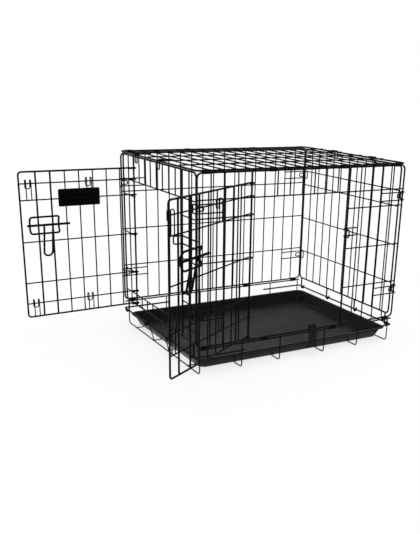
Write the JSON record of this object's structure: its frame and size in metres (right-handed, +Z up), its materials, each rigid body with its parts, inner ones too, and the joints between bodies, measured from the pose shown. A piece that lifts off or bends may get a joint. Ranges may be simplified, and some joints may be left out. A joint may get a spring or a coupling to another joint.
{
  "type": "wire dog crate",
  "caption": "Folding wire dog crate with a slide-out tray, an end door and a side door on hooked hinges, slide-bolt latches and a fold-in end panel.",
  "frame": {"origin": "centre of the crate's footprint, on the floor", "axes": "+X along the crate from the end with the door to the other end, -Y the side with the door, +Z up"},
  "size_m": [0.9074, 0.6327, 0.4904],
  "materials": {
    "black_coat": "satin black powder coat",
    "tray_plastic": "satin black plastic",
    "plate_plastic": "plain plate, left bare"
  },
  "bodies": {
    "crate": {"floor_grid": "black_coat", "near_base_rail": "black_coat", "far_base_rail": "black_coat", "left_end_rod": "black_coat", "right_end_rod": "black_coat", "left_rod_links": "black_coat", "near_base_clips": "black_coat", "far_base_clips": "black_coat", "near_side_panel": "black_coat", "far_side_panel": "black_coat", "near_corner_catches": "black_coat", "far_corner_catches": "black_coat", "near_top_clips": "black_coat", "far_top_clips": "black_coat", "top_panel": "black_coat", "left_top_hooks": "black_coat", "right_top_hooks": "black_coat", "left_end_panel": "black_coat", "end_keeper": "black_coat", "side_keeper": "black_coat"},
    "tray": {"tray": "tray_plastic"},
    "tray_stop": {"tray_stop": "black_coat"},
    "right_end": {"right_end_panel": "black_coat"},
    "end_door": {"end_door_panel": "black_coat", "end_door_guard_hooks": "black_coat", "end_latch_bracket": "black_coat", "name_plate": "plate_plastic", "name_plate_clips": "black_coat"},
    "end_bolt": {"end_latch_bolt": "black_coat"},
    "end_handle": {"end_latch_handle": "black_coat"},
    "side_door": {"side_door_panel": "black_coat", "side_door_guard_hooks": "black_coat", "side_latch_bracket": "black_coat"},
    "side_bolt": {"side_latch_bolt": "black_coat"},
    "side_handle": {"side_latch_handle": "black_coat"}
  },
  "joints": [
    {"name": "tray_slide", "type": "slide", "parent": "crate", "child": "tray", "axis": [1, 0, 0], "range_m": [0, 0.55]},
    {"name": "tray_stop_swing", "type": "hinge", "parent": "crate", "child": "tray_stop", "pos_m": [0.03529, -0.23, 0.072], "axis": [-1, 0, 0], "range_deg": [0, 90]},
    {"name": "right_end_fold", "type": "hinge", "parent": "crate", "child": "right_end", "pos_m": [0.3017, 0, 0.047], "axis": [0, -1, 0], "range_deg": [0, 90]},
    {"name": "end_door_hinge", "type": "hinge", "parent": "crate", "child": "end_door", "pos_m": [-0.297, 0.147, 0.27], "axis": [0, 0, 1], "range_deg": [-62, 88]},
    {"name": "side_door_hinge", "type": "hinge", "parent": "crate", "child": "side_door", "pos_m": [-0.15882, -0.23, 0.27], "axis": [0, 0, 1], "range_deg": [-9, 149]},
    {"name": "end_bolt_slide", "type": "slide", "parent": "end_door", "child": "end_bolt", "axis": [-0.9994, -0.0349, 0], "range_m": [0, 0.022]},
    {"name": "side_bolt_slide", "type": "slide", "parent": "side_door", "child": "side_bolt", "axis": [-0.8572, -0.515, 0], "range_m": [0, 0.022]},
    {"name": "end_handle_lift", "type": "hinge", "parent": "end_bolt", "child": "end_handle", "pos_m": [-0.53621, 0.15255, 0.316], "axis": [0.9994, 0.0349, 0], "range_deg": [0, 120]},
    {"name": "side_handle_lift", "type": "hinge", "parent": "side_bolt", "child": "side_handle", "pos_m": [-0.36263, -0.33624, 0.3185], "axis": [0.8572, 0.515, 0], "range_deg": [0, 120]}
  ]
}
